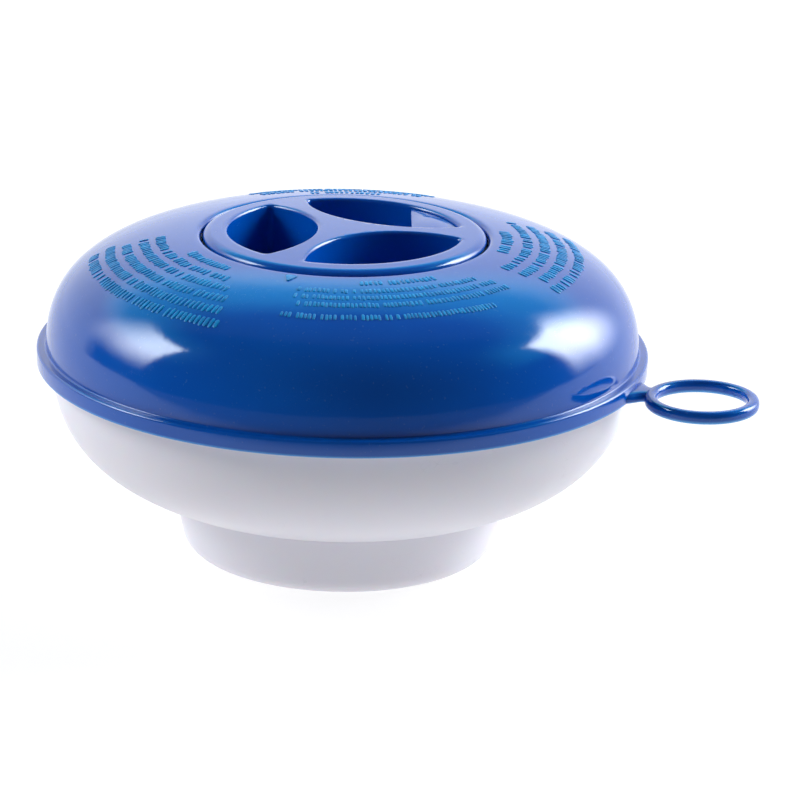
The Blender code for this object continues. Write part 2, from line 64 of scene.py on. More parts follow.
def place(name, points, faces, material, sharp=32):
    """An object from an array of points (metres) and a list of face index arrays. Doubles are merged,
    faces are turned outwards, and edges sharper than the angle stay crisp."""
    mesh = bpy.data.meshes.new(name)
    mesh.from_pydata(points.tolist(), [], [f for block in faces for f in block.tolist()])
    bm = bmesh.new()
    bm.from_mesh(mesh)
    bmesh.ops.remove_doubles(bm, verts=bm.verts, dist=2e-7)
    bmesh.ops.dissolve_degenerate(bm, edges=bm.edges, dist=1e-8)
    bmesh.ops.recalc_face_normals(bm, faces=bm.faces)
    bm.to_mesh(mesh)
    bm.free()
    obj = bpy.data.objects.new(name, mesh)
    bpy.context.scene.collection.objects.link(obj)
    smooth(obj, sharp)
    mesh.materials.append(material)
    return obj


def smooth(obj, sharp=32):
    """Shades a piece smooth, apart from edges sharper than this many degrees."""
    obj.data.shade_smooth()
    obj.data.set_sharp_from_angle(angle=np.radians(sharp))


def grid_faces(rows, columns, wrap_rows=False, wrap_columns=False):
    """Quads of a rows by columns grid of points, in order, which may close on itself either way."""
    i = np.arange(rows if wrap_rows else rows - 1)[:, None]
    j = np.arange(columns if wrap_columns else columns - 1)[None, :]
    i2, j2 = (i + 1) % rows, (j + 1) % columns
    quads = np.stack([i * columns + j, i * columns + j2, i2 * columns + j2, i2 * columns + j], -1)
    return quads.reshape(-1, 4)


def fillet(corners, steps=6):
    """A closed outline from corners (x, y, radius): each corner becomes an arc tangent to both sides,
    centred on the corner's bisector at radius / sin(half angle)."""
    made = []
    total = len(corners)
    for k in range(total):
        here = np.array(corners[k][:2], float)
        radius = corners[k][2] if len(corners[k]) > 2 else 0.0
        if radius <= 0:
            made.append(here[None])
            continue
        back = np.array(corners[k - 1][:2], float) - here
        on = np.array(corners[(k + 1) % total][:2], float) - here
        back, on = back / np.linalg.norm(back), on / np.linalg.norm(on)
        half = np.arccos(np.clip(back @ on, -1, 1)) / 2
        middle = here + (back + on) / np.linalg.norm(back + on) * radius / np.sin(half)
        first, last = here + back * radius / np.tan(half), here + on * radius / np.tan(half)
        a0 = np.arctan2(*(first - middle)[::-1])
        sweep = (np.arctan2(*(last - middle)[::-1]) - a0 + np.pi) % TAU - np.pi
        a = a0 + sweep * np.linspace(0, 1, steps + 1)
        made.append(middle + radius * np.stack([np.cos(a), np.sin(a)], -1))
    return np.concatenate(made)


def revolve(name, outline, material, steps=ROUND, sharp=32):
    """A closed outline of (radius, height) carried round Z: the point at turn t is
    (r cos t, r sin t, z)."""
    r, z = np.asarray(outline, float).T * MM
    t = np.arange(steps) * TAU / steps
    points = np.stack(np.broadcast_arrays(r[:, None] * np.cos(t), r[:, None] * np.sin(t), z[:, None]), -1)
    return place(name, points.reshape(-1, 3), [grid_faces(len(r), steps, True, True)], material, sharp)


def loft(name, rings, material, sharp=32, closed=False):
    """A stack of closed rings of points, (rings, points, 3) in millimetres, skinned one to the next.
    It closes on itself, or ends in a flat face at each end."""
    rings = np.asarray(rings, float) * MM
    count, around = rings.shape[:2]
    faces = [grid_faces(count, around, closed, True)]
    if not closed:
        faces += [np.arange(around)[None], (count - 1) * around + np.arange(around)[None]]
    return place(name, rings.reshape(-1, 3), faces, material, sharp)


def level(ring, z):
    """A flat outline of (x, y) points set at a height."""
    return np.column_stack([ring, np.full(len(ring), z)])


def turn_by(points, angle):
    """Points turned about Z."""
    c, s = np.cos(angle), np.sin(angle)
    x, y, z = points[..., 0], points[..., 1], points[..., 2]
    return np.stack([x * c - y * s, x * s + y * c, z], -1)


def carve(obj, other):
    """Cuts the shape of another piece out of this one, and removes that piece."""
    step = obj.modifiers.new("carve", "BOOLEAN")
    step.operation, step.object, step.solver = "DIFFERENCE", other, "MANIFOLD"
    graph = bpy.context.evaluated_depsgraph_get()
    made = bpy.data.meshes.new_from_object(obj.evaluated_get(graph))
    obj.modifiers.clear()
    obj.data = made
    bpy.data.objects.remove(other)
    smooth(obj)
    return obj


def merge(name, pieces):
    """Several pieces as one object, whose shells may pass into each other."""
    bm = bmesh.new()
    for piece in pieces:
        bm.from_mesh(piece.data)
    mesh = bpy.data.meshes.new(name)
    bm.to_mesh(mesh)
    bm.free()
    mesh.materials.append(pieces[0].data.materials[0])
    obj = bpy.data.objects.new(name, mesh)
    bpy.context.scene.collection.objects.link(obj)
    smooth(obj)
    for piece in pieces:
        bpy.data.objects.remove(piece)
    return obj


def fit(piece, body, slot, *nodes):
    """Rides the piece on its body and hides the CAD nodes that it stands for. The finish's name, slot, is not
    used.
    """
    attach(piece, body)
    if nodes:
        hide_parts(*nodes)
    return piece


# ------------------------------------------------------------------ materials

class Finish:
    """A Principled material under construction, on Object coordinates in metres."""

    def __init__(self, name, colour, roughness, **sockets):
        self.material = bpy.data.materials.new(name)
        self.material.use_nodes = True
        self.nodes = self.material.node_tree.nodes
        self.links = self.material.node_tree.links
        self.shader = self.nodes["Principled BSDF"]
        self.shader.inputs["Base Color"].default_value = (*colour, 1)
        self.shader.inputs["Roughness"].default_value = roughness
        for key, value in sockets.items():
            self.shader.inputs[key.replace("_", " ")].default_value = value
        self.coords = self.nodes.new("ShaderNodeTexCoord").outputs["Object"]
        self.height = None

    def link(self, source, target):
        self.links.new(source, target)

    def noise(self, scale, detail, stretch=(1, 1, 1)):
        """Fractal noise, in cycles per metre, stretched along each axis."""
        mapping = self.nodes.new("ShaderNodeMapping")
        mapping.inputs["Scale"].default_value = stretch
        self.link(self.coords, mapping.inputs["Vector"])
        node = self.nodes.new("ShaderNodeTexNoise")
        node.inputs["Scale"].default_value = scale
        node.inputs["Detail"].default_value = detail
        self.link(mapping.outputs[0], node.inputs["Vector"])
        return node.outputs["Fac"]

    def spread(self, value, low, high, out_low=0.0, out_high=1.0):
        """The value's span from low to high, clamped and spread over another span."""
        node = self.nodes.new("ShaderNodeMapRange")
        self.link(value, node.inputs["Value"])
        for key, number in zip(("From Min", "From Max", "To Min", "To Max"),
                               (low, high, out_low, out_high)):
            node.inputs[key].default_value = number
        return node.outputs["Result"]

    def math(self, operation, a, b):
        """One step of arithmetic on two values, each a number or a socket."""
        node = self.nodes.new("ShaderNodeMath")
        node.operation = operation
        for value, socket in ((a, node.inputs[0]), (b, node.inputs[1])):
            if isinstance(value, (int, float)):
                socket.default_value = value
            else:
                self.link(value, socket)
        return node.outputs[0]

    def mix(self, factor, a, b):
        """Blends two colours, each a tuple or a socket."""
        node = self.nodes.new("ShaderNodeMix")
        node.data_type = "RGBA"
        self.link(factor, node.inputs["Factor"])
        for value, socket in ((a, node.inputs[6]), (b, node.inputs[7])):
            if isinstance(value, tuple):
                socket.default_value = (*value, 1)
            else:
                self.link(value, socket)
        return node.outputs[2]

    def axis(self, name):
        """One of the object coordinates."""
        node = self.nodes.new("ShaderNodeSeparateXYZ")
        self.link(self.coords, node.inputs[0])
        return node.outputs[name]

    def colour(self, socket):
        """Sets the base colour."""
        self.link(socket, self.shader.inputs["Base Color"])

    def gloss(self, socket):
        """Sets the roughness."""
        self.link(socket, self.shader.inputs["Roughness"])

    def bump(self, value, depth):
        """Adds a relief of this depth, in metres, on top of any before it."""
        node = self.nodes.new("ShaderNodeBump")
        node.inputs["Distance"].default_value = depth
        node.inputs["Strength"].default_value = 1.0
        self.link(value, node.inputs["Height"])
        if self.height is not None:
            self.link(self.height, node.inputs["Normal"])
        self.height = node.outputs[0]
        self.link(self.height, self.shader.inputs["Normal"])


def scratches(finish, scale, width, angle):
    """Hairline scratches: the zero line of a stretched noise, so 1 on the line and 0 off it."""
    mapping = finish.nodes.new("ShaderNodeMapping")
    mapping.inputs["Rotation"].default_value = (0.4, 0.9, angle)
    mapping.inputs["Scale"].default_value = (1, 0.06, 1)
    finish.link(finish.coords, mapping.inputs["Vector"])
    node = finish.nodes.new("ShaderNodeTexNoise")
    node.inputs["Scale"].default_value = scale
    node.inputs["Detail"].default_value = 1.0
    finish.link(mapping.outputs[0], node.inputs["Vector"])
    off = finish.math("ABSOLUTE", finish.math("SUBTRACT", node.outputs["Fac"], 0.5), 0.0)
    line = finish.spread(off, 0.0, width, 1.0, 0.0)
    patch = finish.spread(finish.noise(38, 2.0), 0.56, 0.66)
    return finish.math("MULTIPLY", line, patch)


def blue_plastic(name, lip=False):
    """Polished blue polypropylene: slight flow marks from the gate, orange peel, hairline scratches
    and dust, and on the shell a painted highlight: a paler blue band along the skirt's bottom edge."""
    f = Finish(name, (0.0, 0.078, 0.42), 0.10, IOR=1.5, Specular_Tint=(0.90, 0.95, 1.0, 1.0),
               Subsurface_Weight=0.06, Subsurface_Scale=0.002)
    cloud = f.spread(f.noise(16, 4.0), 0.3, 0.7)
    body = f.mix(cloud, (0.0, 0.070, 0.395), (0.0, 0.090, 0.46))
    specks = f.spread(f.noise(900, 1.0), 0.70, 0.74)
    body = f.mix(f.math("MULTIPLY", specks, 0.25), body, (0.07, 0.17, 0.42))
    # painted highlight: with lip set, the lowest millimetre of the shell, along the skirt's bottom edge, is
    # painted a paler blue
    if lip:
        edge = f.spread(f.axis("Z"), 0.0650, 0.0660, 1.0, 0.0)
        body = f.mix(f.math("MULTIPLY", edge, 0.8), body, (0.10, 0.42, 0.85))
    f.colour(body)
    fine = scratches(f, 420, 0.006, 0.3)
    haze = f.spread(f.noise(55, 5.0), 0.35, 0.75, 0.06, 0.14)
    f.gloss(f.math("ADD", haze, f.math("MULTIPLY", fine, 0.25)))
    f.bump(f.noise(160, 2.0), 0.00004)
    f.bump(f.noise(2200, 2.0), 0.0000025)
    f.bump(fine, -0.000004)
    return f.material


def mark_plastic():
    """The raised marks: a paler, duller blue than the shell, mottled with a paler blue in patches."""
    f = Finish("raised_mark_blue", (0.0, 0.18, 0.51), 0.5, IOR=1.33)
    pale_mottle = f.spread(f.noise(420, 4.0), 0.35, 0.68)
    f.colour(f.mix(pale_mottle, (0.0, 0.18, 0.49), (0.0, 0.27, 0.63)))
    f.gloss(f.spread(f.noise(800, 3.0), 0.3, 0.7, 0.30, 0.50))
    f.bump(f.noise(2600, 2.0), 0.00001)
    return f.material


def white_plastic(name, shade=1.0):
    """Satin white polypropylene: faint warm and cool clouding, fine spark-eroded grain, light scuffs
    that are a little greyer, and some light passing through the wall."""
    f = Finish(name, (0.60, 0.60, 0.63), 0.36, IOR=1.48, Subsurface_Weight=0.22,
               Subsurface_Scale=0.004)
    cloud = f.spread(f.noise(11, 5.0), 0.3, 0.7)
    warm = tuple(shade * c for c in (0.700, 0.683, 0.750))
    cool = tuple(shade * c for c in (0.665, 0.657, 0.728))
    body = f.mix(cloud, warm, cool)
    scuff = scratches(f, 260, 0.008, 1.1)
    body = f.mix(f.math("MULTIPLY", scuff, 0.18), body, (0.38, 0.39, 0.41))
    f.colour(body)
    f.gloss(f.spread(f.noise(70, 5.0), 0.3, 0.7, 0.30, 0.44))
    f.bump(f.noise(3000, 2.0), 0.000006)
    f.bump(f.noise(120, 2.0), 0.00003)
    f.bump(scuff, -0.000004)
    return f.material


def seal_rubber():
    """Black moulded rubber with a faint bloom and a matt grain."""
    f = Finish("seal_rubber", (0.02, 0.02, 0.022), 0.6)
    f.colour(f.mix(f.spread(f.noise(240, 4.0), 0.4, 0.75), (0.014, 0.014, 0.016), (0.05, 0.05, 0.052)))
    f.gloss(f.spread(f.noise(500, 3.0), 0.3, 0.7, 0.5, 0.75))
    f.bump(f.noise(4000, 2.0), 0.00001)
    return f.material


def spring_wire():
    """Drawn stainless wire, with fine lines and a slight dulling."""
    f = Finish("spring_wire", (0.58, 0.58, 0.60), 0.25, Metallic=1.0)
    f.colour(f.mix(f.spread(f.noise(700, 3.0), 0.3, 0.7), (0.48, 0.48, 0.50), (0.66, 0.66, 0.68)))
    f.gloss(f.spread(f.noise(1500, 2.0, (1, 1, 6)), 0.3, 0.7, 0.18, 0.38))
    f.bump(f.noise(5000, 1.0, (1, 1, 8)), 0.000003)
    return f.material


def floor_paint():
    """Pale studio floor with the faintest mottling. It is lit from within where the float stands, and
    falls off to a grey further out in front."""
    f = Finish("studio_floor", (0.25, 0.25, 0.255), 0.75, Specular_IOR_Level=0.1,
               Emission_Color=(1.0, 1.0, 1.0, 1.0))
    pale = f.mix(f.spread(f.noise(6, 3.0), 0.3, 0.7), (0.245, 0.245, 0.25), (0.255, 0.255, 0.26))
    ahead = f.math("ADD", f.math("MULTIPLY", f.axis("X"), float(np.sin(VIEW_TURN))),
                   f.math("MULTIPLY", f.axis("Y"), float(-np.cos(VIEW_TURN))))
    near = f.spread(ahead, 0.24, 0.44, 1.0, 0.0)
    f.colour(f.mix(near, (0.22, 0.22, 0.23), pale))
    f.link(f.math("MULTIPLY", near, FLOOR_GLOW), f.shader.inputs["Emission Strength"])
    f.bump(f.noise(400, 3.0), 0.00001)
    return f.material


# the shell's blue carries a painted highlight, a paler band along the skirt's bottom edge
SHELL_BLUE = blue_plastic("shell_blue", lip=True)
CAP_BLUE = blue_plastic("cap_blue")
MARK_BLUE = mark_plastic()
BOWL_WHITE = white_plastic("bowl_white")
FOOT_WHITE = white_plastic("foot_white", 1.03)
WELL_WHITE = white_plastic("well_white", 1.08)
RUBBER = seal_rubber()
WIRE = spring_wire()


# ------------------------------------------------------------------ hull

FLANGE, FLANGE_LOW, FLANGE_HIGH, SKIRT = 101.5, 65.0, 70.5, 99.4
DOME = (98.7, 61.1, 48.7, 3.19, 3.35)  # radius, start height, rise, and the two powers
BOWL = (96.15, 64.55, -47.81, 2.94, 2.31)  # the same, falling from its start height
RECESS, NECK, WALL = 47.5, 44.0, 2.4  # radii of the cap's recess and of the neck, and the shells' wall
SEAT, FOOT_TOP = 103.5, 21.3  # heights of the recess's seat and of the foot's step
EYE_CENTRE, EYE_RADIUS, EYE_HEIGHT = 124.0, 16.6, 66.5
WINDOWS, WINDOW_INNER, WINDOW_OUTER, WINDOW_HALF = 4, 15.0, 37.0, np.radians(16)
STOP = 200  # degrees round to the middle of the dosing base's stop rib


def superellipse(shape, inset, start, end, count):
    """Points (r, z) of |r / radius|^p + |(z - start) / rise|^q = 1, from one angle to another, as
    r = radius cos(t)^(2/p) and z = start + rise sin(t)^(2/q). The inset shrinks both half axes."""
    radius, base, rise, p, q = shape
    rise -= np.sign(rise) * inset
    t = np.linspace(start, end, count)
    r = (radius - inset) * np.cos(t) ** (2 / p)
    return np.stack([r, base + rise * np.sin(t) ** (2 / q)], -1)


def at_radius(shape, inset, r):
    """The angle where that superellipse reaches a radius."""
    c = (r / (shape[0] - inset)) ** (shape[3] / 2)
    return np.arccos(c)


def at_height(shape, inset, z):
    """The angle where that superellipse reaches a height."""
    rise = shape[2] - np.sign(shape[2]) * inset
    return np.arcsin(((z - shape[1]) / rise) ** (shape[4] / 2))


def dome_shell():
    """Blue upper moulding. Its outline runs up the skirt, over the flange's ledge, up the dome, over
    the rounded edge of the cap's recess, down the neck and back along the inside of the wall."""
    edge = 1.8
    foot, crest = at_height(DOME, 0, FLANGE_HIGH + 0.7), at_radius(DOME, 0, RECESS + edge)
    outer = superellipse(DOME, 0, foot, crest, 72)
    foot, crest = at_height(DOME, WALL, FLANGE_HIGH), at_radius(DOME, WALL, RECESS + WALL)
    inner = superellipse(DOME, WALL, foot, crest, 40)
    a = np.linspace(np.pi / 2, np.pi, 9)[1:]
    lip = np.stack([RECESS + edge + edge * np.cos(a), outer[-1, 1] - edge + edge * np.sin(a)], -1)
    skirt = fillet([(SKIRT, FLANGE_LOW + 3.0), (SKIRT, FLANGE_LOW, 0.35), (FLANGE, FLANGE_LOW, 0.5),
                    (FLANGE, FLANGE_HIGH, 0.9), (outer[0, 0] + 0.05, FLANGE_HIGH, 0.55),
                    (outer[0, 0], FLANGE_HIGH + 0.7)], 5)
    neck = fillet([(RECESS, SEAT + 1), (RECESS, SEAT, 0.3), (NECK, SEAT, 0.4), (NECK, 82.0, 0.5),
                   (46.2, 82.0, 0.5), (46.2, 101.2, 0.4), (RECESS + WALL, 101.2)], 4)
    outline = np.concatenate([skirt[1:-1], outer, lip, neck[1:], inner[::-1],
                              [[inner[0, 0], FLANGE_LOW + 3.0], [SKIRT, FLANGE_LOW + 3.0]]])
    shell = revolve("dome_shell", outline, SHELL_BLUE)
    ledges = [helix_bar(f"ledge_{k}", 42.75, 44.6, 92.7, 2.3, 40 + 120 * k, 60, SHELL_BLUE) for k in range(3)]
    return merge("dome_shell", [shell, *ledges])


def helix_bar(name, inner, outer, bottom, height, start, span, material, steps=40):
    """A thread ledge: a rounded rectangle in (radius, height) that turns about Z and climbs by the
    thread's lead, with its first and last degrees tapered to a ramp."""
    shape = fillet([(inner, 0, 0.35), (outer, 0, 0), (outer, height, 0), (inner, height, 0.35)], 4)
    u = np.linspace(0, 1, steps + 1)
    turn = np.radians(start + span * u)
    taper = np.clip(np.minimum(u, 1 - u) * span / 2.5, 0.25, 1) ** 0.5
    r = outer - (outer - shape[None, :, 0]) * taper[:, None]
    z = bottom + LEAD / 360 * span * u[:, None] + shape[None, :, 1]
    rings = np.stack([r * np.cos(turn)[:, None], r * np.sin(turn)[:, None], z], -1)
    return loft(name, rings, material)


def tether_ring():
    """Blue eye and its neck. The eye's section is a superellipse |x/a|^2.5 + |z/b|^2.5 = 1 carried
    round a circle. The neck's section is the same kind of shape; its half width falls from the flange
    to the eye along a cosine, so it flares like a moulded gusset."""
    def section(half_wide, half_high, count, power):
        a = np.arange(count) * TAU / count
        c, s = np.cos(a), np.sin(a)
        return (half_wide * np.sign(c) * np.abs(c) ** (2 / power),
                half_high * np.sign(s) * np.abs(s) ** (2 / power))

    t = np.arange(160)[:, None] * TAU / 160
    wide, high = section(2.0, 2.1, 40, 2.5)
    r = EYE_RADIUS + wide[None, :]
    rings = np.broadcast_arrays(EYE_CENTRE + r * np.cos(t), r * np.sin(t), EYE_HEIGHT + high[None, :])
    eye = loft("eye", np.stack(rings, -1), SHELL_BLUE, 60, closed=True)
    u = np.linspace(0, 1, 26)[:, None]
    x = 100.2 + 8.0 * u
    flare = 4.1 + 5.2 * (0.5 + 0.5 * np.cos(np.pi * np.clip(u * 1.15, 0, 1))) ** 1.4
    tall = 2.05 - 0.25 * np.sin(np.pi * u / 2)
    y, z = section(1.0, 1.0, 48, 3.0)
    rings = np.broadcast_arrays(x, flare * y, EYE_HEIGHT + tall * z)
    return merge("tether_ring", [eye, loft("neck", np.stack(rings, -1), SHELL_BLUE, 60)])


MARK_ROWS = (  # radius from the axis, first and last angle, size of the bars
    (53.6, 2, 29, 1.1), (60.4, -12, 43, 1), (66.2, -11, 41, 1), (71.9, -8, 39, 1), (77.4, -10, 37, 1),
    (54.2, -66, -38, 0.9), (59.8, -85, -26, 0.75), (64.2, -85, -22, 0.75), (68.6, -84, -20, 0.75),
    (75.0, -86, -30, 0.75), (54.6, 222, 248, 1), (60.6, 200, 253, 1), (66.1, 200, 256, 1),
    (71.8, 201, 259, 1), (77.3, 198, 260, 1), (82.6, 199, 262, 1),
    (54.0, 96, 124, 1), (60.4, 84, 138, 1), (66.2, 82, 140, 1), (71.9, 86, 134, 1), (77.4, 88, 132, 1),
)


def dome_point(r, t, lift):
    """A point on the dome at a radius and an angle, raised along the dome's own normal. The height is
    base + rise (1 - (r/R)^p)^(1/q), and the slope is its derivative."""
    radius, base, rise, p, q = DOME
    inside = 1 - (r / radius) ** p
    z = base + rise * inside ** (1 / q)
    slope = -rise * p / q * inside ** (1 / q - 1) * (r / radius) ** (p - 1) / radius
    length = np.sqrt(1 + slope**2)
    out, up = -slope / length, 1 / length
    return np.stack([(r + lift * out) * np.cos(t), (r + lift * out) * np.sin(t), z + lift * up], -1)


def raised_marks():
    """Rows of plain raised bars on the dome, in arcs about the cap. A bar is a superellipsoid pill:
    radial and sideways half sizes times cos(v)^0.4 round a squared circle, and a height sin(v)^0.7.
    The bars stand in groups of uneven length, with gaps between groups, and spell nothing."""
    rng = np.random.default_rng(7)
    places = []
    for row, first, last, size in MARK_ROWS:
        arc = np.radians(last - first) * row
        pitch = size * rng.uniform(1.5, 2.0, 400)
        gaps = np.where(rng.uniform(size=400) < 0.13, 1.5 * size, 0.0)
        along = np.cumsum(pitch + gaps)
        along = along[along < arc]
        count = len(along)
        places.append(np.stack([np.full(count, row), np.radians(first) + along / row,
                                size * rng.uniform(1.5, 1.95, count), size * rng.uniform(0.55, 0.80, count),
                                rng.uniform(-0.2, 0.2, count)], -1))
    r, t, tall, wide, shift = np.concatenate(places).T[:, :, None, None]
    v = np.array([-0.3, 0.35, 0.8, 1.2, np.pi / 2])[None, :, None]
    a = (np.arange(12) * TAU / 12)[None, None, :]
    ring = np.cos(v) ** 0.4
    along_r = tall * ring * np.sign(np.cos(a)) * np.abs(np.cos(a)) ** 0.6
    along_t = wide * ring * np.sign(np.sin(a)) * np.abs(np.sin(a)) ** 0.6
    lift = 0.26 * np.sign(v) * np.abs(np.sin(v)) ** 0.7
    points = dome_point(r + shift + along_r, t + along_t / r, lift)
    count, rows, around = points.shape[:3]
    offsets = (np.arange(count) * rows * around)[:, None, None]
    sides = (grid_faces(rows, around, False, True)[None] + offsets).reshape(-1, 4)
    bottoms = (np.arange(around)[None, None] + offsets).reshape(-1, around)
    bars = place("bars", points.reshape(-1, 3) * MM, [sides, bottoms], MARK_BLUE, 50)
    return merge("raised_marks", [bars, pointer()])


def pointer():
    """A small raised triangle by the cap: its outline at three heights, the last a little smaller."""
    middle, angle = 53.4, np.radians(-89)
    across, out = fillet([(-2.2, -2.6, 0.5), (2.2, -2.6, 0.5), (0, 2.6, 0.5)], 4).T
    rings = [dome_point(middle + size * out, angle + size * across / middle, lift)
             for size, lift in ((1.0, -0.2), (1.0, 0.2), (0.9, 0.36))]
    return loft("pointer", rings, MARK_BLUE, 50)


def bowl_shell():
    """White lower moulding: rim behind the skirt, bowl, foot step, the socket for the well, and the two
    lugs that end the dosing base's turn."""
    outer = superellipse(BOWL, 0, 0, at_height(BOWL, 0, FOOT_TOP), 64)
    inner = superellipse(BOWL, WALL, 0, at_height(BOWL, WALL, 23.5), 36)
    socket = fillet([(outer[-1, 0], FOOT_TOP), (47.2, FOOT_TOP, 0.5), (47.2, 6.0, 0.5), (45.0, 6.0, 0.5),
                     (45.0, 30.0, 0.5), (47.2, 30.0, 0.5), (47.2, 23.5, 0.8), (inner[-1, 0], 23.5)], 4)
    rim = fillet([(inner[0, 0], 66.6, 0.4), (99.1, 66.6, 0.4), (99.1, 65.0, 0.4), (BOWL[0], 65.0)], 4)
    shell = revolve("bowl_shell", np.concatenate([outer[:-1], socket, inner[::-1], rim]), BOWL_WHITE)
    lugs = [sector_block(f"lug_{k}", 46.4, 48.4, STOP + side, BOWL_WHITE)
            for k, side in enumerate((-5.7, 50.7))]
    return merge("bowl_shell", [shell, *lugs])


def sector_block(name, inner, outer, middle, material):
    """A stop: a piece of a ring, 5 degrees wide, between two arcs about Z."""
    low, high, half = 7.5, 11.0, 2.5
    a = np.radians(np.linspace(middle - half, middle + half, 9))
    ring = np.concatenate([np.stack([outer * np.cos(a), outer * np.sin(a)], -1),
                           np.stack([inner * np.cos(a), inner * np.sin(a)], -1)[::-1]])
    return loft(name, [level(ring, low), level(ring, high)], material)


def tablet_cup():
    """White well: rounded floor, wall, flared shoulder and collar, with a groove for the lower ring."""
    outline = fillet([(41.5, 5.8, 1.2), (41.5, 80.0, 0.6), (46.6, 80.0, 0.5), (46.6, 92.0, 0.5),
                      (48.8, 92.0, 0.5), (48.8, 77.6, 0.8), (43.9, 75.0, 1.5), (43.9, 11.2, 0.2),
                      (42.8, 11.2, 0.2), (42.8, 8.8, 0.2), (43.9, 8.8, 0.2), (43.9, 3.6, 0.8),
                      (6.4, 3.6, 0.2), (6.4, 5.8, 0.3)], 4)
    cup = revolve("tablet_cup", outline, WELL_WHITE, 192)
    return windows(cup, 2.0, 7.5)


def windows(piece, low, high):
    """Cuts the windows: pieces of a ring with rounded corners, evenly round the axis."""
    a = np.linspace(-WINDOW_HALF, WINDOW_HALF, 17)
    sides = [(r * np.cos(t), r * np.sin(t), 0.5 if abs(t) == WINDOW_HALF else 0)
             for r, turns in ((WINDOW_OUTER, a), (WINDOW_INNER, a[::-1])) for t in turns]
    outline = fillet(sides, 4)
    for k in range(WINDOWS):
        shape = turn_by(np.stack([level(outline, low), level(outline, high)]), k * TAU / WINDOWS)
        carve(piece, loft("window", shape, piece.data.materials[0]))
    return piece


def torus(name, radius, thick, height):
    """An O-ring: a circle of the given half thickness carried round Z."""
    a = np.arange(20) * TAU / 20
    section = np.stack([radius + thick * np.cos(a), height + thick * np.sin(a)], -1)
    return revolve(name, section, RUBBER, 160, 60)


def hull():
    """Everything that stays still: the shells, the loop, the well and the seals between them."""
    fit(dome_shell(), "hull", "blue_gloss", "upper_shell")
    fit(raised_marks(), "hull", "blue_gloss")
    fit(tether_ring(), "hull", "blue_gloss", "tether_loop")
    fit(bowl_shell(), "hull", "white_satin", "lower_shell")
    fit(tablet_cup(), "hull", "white_satin", "tablet_well")
    gasket = fillet([(96.35, 66.9, 0.2), (98.9, 66.9, 0.2), (98.9, 67.7, 0.2), (96.35, 67.7, 0.2)], 3)
    fit(revolve("seam_gasket", gasket, RUBBER), "hull", "seal_rubber", "seam_seal")
    fit(torus("upper_ring", 45.3, 0.7, 81.0), "hull", "seal_rubber", "well_upper_seal")
    fit(torus("lower_ring", 43.9, 0.8, 10.0), "hull", "seal_rubber", "well_lower_seal")


# ------------------------------------------------------------------ dosing base

def foot_cup():
    """White foot: a tapered cup with a rounded bottom edge, a recessed underside with a foot ring and
    a centre boss, the pivot spigot, a stop rib and the four windows."""
    low, top = 51.3, FOOT_TOP - 0.4
    outline = fillet([(0, 0), (12.0, 0, 0.3), (12.0, 0.8, 0.2), (40.0, 0.8, 0.2), (40.0, 0, 0.3),
                      (low, 0, 7.2), (56.0, top, 0.5), (53.8, top, 0.5), (49.2, 3.0, 5.0),
                      (6.0, 3.0, 0.4), (6.0, 6.9, 0.4), (2.3, 6.9, 0.3), (2.3, 1.3), (0, 1.3)], 10)
    cup = revolve("foot_cup", outline, FOOT_WHITE, 240)
    cup = windows(cup, -1.5, 4.5)
    rib = sector_block("rib", 47.7, 50.6, STOP, FOOT_WHITE)
    return merge("foot_cup", [cup, rib])


def foot_screw():
    """Pan-head screw: a domed head with a slot, on a plain shank."""
    a = np.linspace(0, np.pi / 2, 9)
    shank, tip, under, rim, top = 2.0, 1.6, 7.2, 9.0, 9.4
    head = np.stack([rim - 1.6 + 1.6 * np.cos(a), top - 1.3 + 1.3 * np.sin(a)], -1)
    below = [[0, tip], [shank, tip], [shank, under], [rim - 0.2, under], [rim, under + 0.2]]
    outline = np.concatenate([below, head, [[0, top]]])
    screw = revolve("foot_screw", outline, FOOT_WHITE, 96)
    slot = fillet([(-10, -0.8), (10, -0.8), (10, 0.8), (-10, 0.8)], 2)
    return carve(screw, loft("slot", [level(slot, top - 1.2), level(slot, top + 1.1)], FOOT_WHITE))


def base():
    """The foot that turns to set the dose, and the washer and screw that hold it."""
    fit(foot_cup(), "base", "white_satin", "dosing_base")
    washer = fillet([(6.3, 6.1, 0.15), (11.0, 6.1, 0.15), (11.0, 6.9, 0.15), (6.3, 6.9, 0.15)], 3)
    fit(revolve("slip_washer", washer, WELL_WHITE, 96), "base", "white_satin", "base_washer")
    fit(foot_screw(), "base", "white_satin", "base_screw")


# ------------------------------------------------------------------ cap

CAP_TOP, CAP_LOW, CAP_RIM = 110.8, 106.5, 46.8
CROWN, CROWN_RIM = 1.5, 44.6  # drop of the domed top, and the radius where it has dropped so far
PLUG, PLUG_LOW, PLUG_WALL = 42.4, 88.0, 2.2
FIRST_ARM = np.radians(20)  # direction of one arm of the web between the pockets
POCKET_FLOOR, POCKET_TIP = 90.8, 2.0  # height, and radius of the rounded tips
POCKET_ARC = 38.7  # radius of a pocket's outer arc, about the cap's axis
POCKET_BACK, POCKET_CENTRE = 34.6, 43.8  # radius of its inner arc, and how far out that is centred
TAB_EDGE, TAB_TOP = 22.0, 108.6  # the tab's straight edge, and its top face
CATCH_LOW = TAB_TOP - 12.0
CATCH_WINDOW = (21.4, 27.9), (27.8, 43.5), (-4.7, 2.8)  # spans in x, in y, and in z from CATCH_LOW
SPRING_X, SPRING_Y, SPRING_RADIUS, SPRING_TURNS, WIRE_HALF = 28.5, 16.0, 2.6, 5, 0.45


def crown(r):
    """Height of the cap's domed top: top - drop (r / rim)^2."""
    return CAP_TOP - CROWN * (r / CROWN_RIM) ** 2


